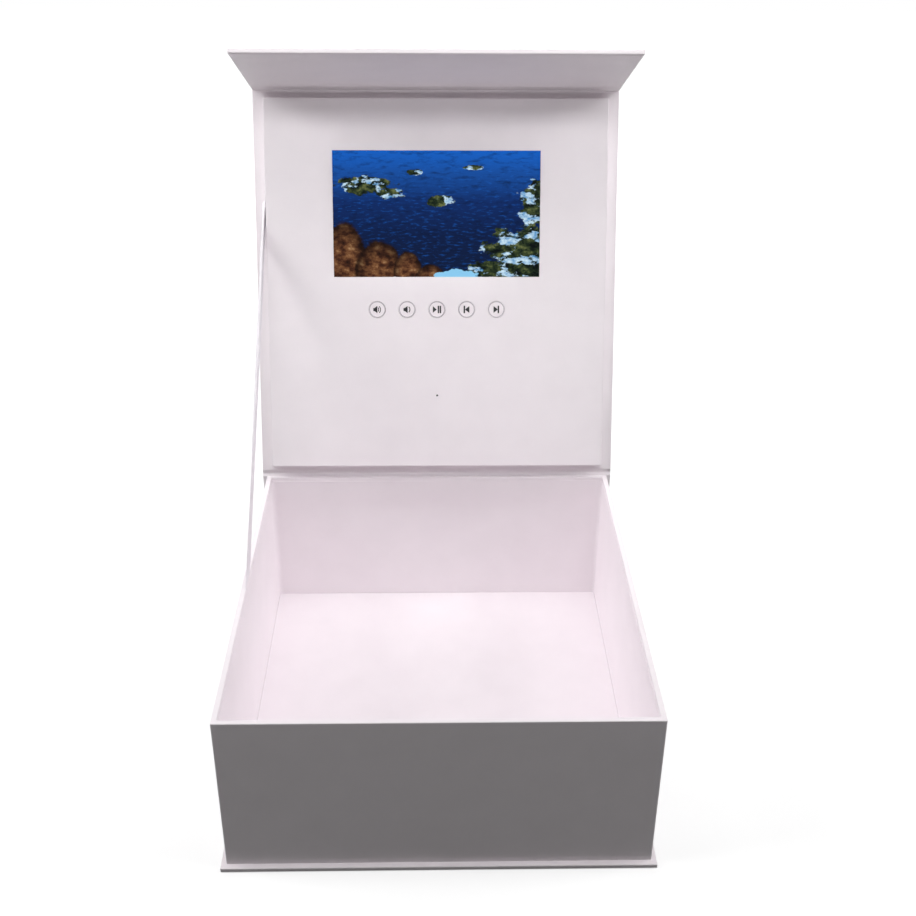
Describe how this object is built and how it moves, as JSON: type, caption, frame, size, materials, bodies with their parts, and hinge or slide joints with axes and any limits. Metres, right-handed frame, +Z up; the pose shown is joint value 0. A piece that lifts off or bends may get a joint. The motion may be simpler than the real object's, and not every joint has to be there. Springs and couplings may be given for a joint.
{
  "type": "lcd video brochure box",
  "caption": "White paper-wrapped gift box whose hinged lid holds a small landscape screen over a row of round buttons, with a magnetic front flap and a stay ribbon.",
  "frame": {"origin": "underside of the base, below the middle of the tray", "axes": "+X to the right of someone who faces the open box, +Y to its back, +Z up"},
  "size_m": [0.2686, 0.3819, 0.4341],
  "materials": {
    "greyboard": "matte",
    "corrugated_card": "matte",
    "white_paper": "matte",
    "cone_paper": "matte",
    "white_ribbon": "satin",
    "zinc_steel": "satin",
    "display_steel": "satin",
    "socket_steel": "satin",
    "magnet_nickel": "gloss",
    "display_glass": "gloss",
    "backlight_plastic": "satin",
    "amber_film": "gloss",
    "green_laminate": "satin",
    "black_epoxy": "satin",
    "battery_foil": "satin",
    "lead_red": "satin",
    "foam_tape": "matte",
    "button_plastic": "satin"
  },
  "bodies": {
    "tray": {"base_board": "greyboard", "base_wrap": "white_paper", "spine_board": "greyboard", "spine_wrap": "white_paper", "tray_front_board": "greyboard", "tray_back_board": "greyboard", "tray_left_board": "greyboard", "tray_right_board": "greyboard", "tray_floor_board": "greyboard", "tray_wrap": "white_paper", "wall_lining": "white_paper", "floor_lining": "white_paper", "strike_plates": "zinc_steel", "stay_ribbon": "white_ribbon"},
    "lid": {"lid_board": "greyboard", "lid_wrap": "white_paper", "lid_lining": "white_paper", "lid_hinge_paper": "white_paper", "lid_hinge_lining": "white_paper", "module_frame": "corrugated_card", "face_board": "greyboard", "face_paper": "white_paper", "lcd_tray": "display_steel", "lcd_bezel": "display_steel", "lcd_glass": "display_glass", "backlight": "backlight_plastic", "lcd_flex": "amber_film", "main_board": "green_laminate", "main_chips": "black_epoxy", "flex_connector": "black_epoxy", "light_sensor": "black_epoxy", "button_board": "green_laminate", "tact_switches": "black_epoxy", "battery": "battery_foil", "battery_leads": "lead_red", "speaker_magnet": "magnet_nickel", "speaker_basket": "display_steel", "speaker_cone": "cone_paper", "speaker_leads": "lead_red", "usb_board": "green_laminate", "usb_port": "socket_steel", "usb_leads": "lead_red", "mounting_tapes": "foam_tape"},
    "flap": {"flap_board": "greyboard", "flap_wrap": "white_paper", "flap_lining": "white_paper", "flap_magnets": "magnet_nickel", "flap_hinge_paper": "white_paper", "flap_hinge_lining": "white_paper"},
    "volume_up_cap": {"button_volume_up": "button_plastic"},
    "volume_down_cap": {"button_volume_down": "button_plastic"},
    "play_pause_cap": {"button_play_pause": "button_plastic"},
    "previous_cap": {"button_previous": "button_plastic"},
    "next_cap": {"button_next": "button_plastic"}
  },
  "joints": [
    {"name": "lid_hinge", "type": "hinge", "parent": "tray", "child": "lid", "pos_m": [0, 0.14238, 0.11693], "axis": [1, 0, 0], "range_deg": [0, 109], "deforming": ["lid_hinge_paper", "lid_hinge_lining", "stay_ribbon"]},
    {"name": "flap_hinge", "type": "hinge", "parent": "lid", "child": "flap", "pos_m": [0, 0.23536, 0.38697], "axis": [1, 0, 0], "range_deg": [-84.5, 5.5], "deforming": ["flap_hinge_paper", "flap_hinge_lining"]},
    {"name": "volume_up_press", "type": "slide", "parent": "lid", "child": "volume_up_cap", "axis": [0, 0.9455, -0.3256], "range_m": [0, 0.0004], "stiffness_N_per_m": 1500, "springref_m": -0.0004},
    {"name": "volume_down_press", "type": "slide", "parent": "lid", "child": "volume_down_cap", "axis": [0, 0.9455, -0.3256], "range_m": [0, 0.0004], "stiffness_N_per_m": 1500, "springref_m": -0.0004},
    {"name": "play_pause_press", "type": "slide", "parent": "lid", "child": "play_pause_cap", "axis": [0, 0.9455, -0.3256], "range_m": [0, 0.0004], "stiffness_N_per_m": 1500, "springref_m": -0.0004},
    {"name": "previous_press", "type": "slide", "parent": "lid", "child": "previous_cap", "axis": [0, 0.9455, -0.3256], "range_m": [0, 0.0004], "stiffness_N_per_m": 1500, "springref_m": -0.0004},
    {"name": "next_press", "type": "slide", "parent": "lid", "child": "next_cap", "axis": [0, 0.9455, -0.3256], "range_m": [0, 0.0004], "stiffness_N_per_m": 1500, "springref_m": -0.0004}
  ]
}
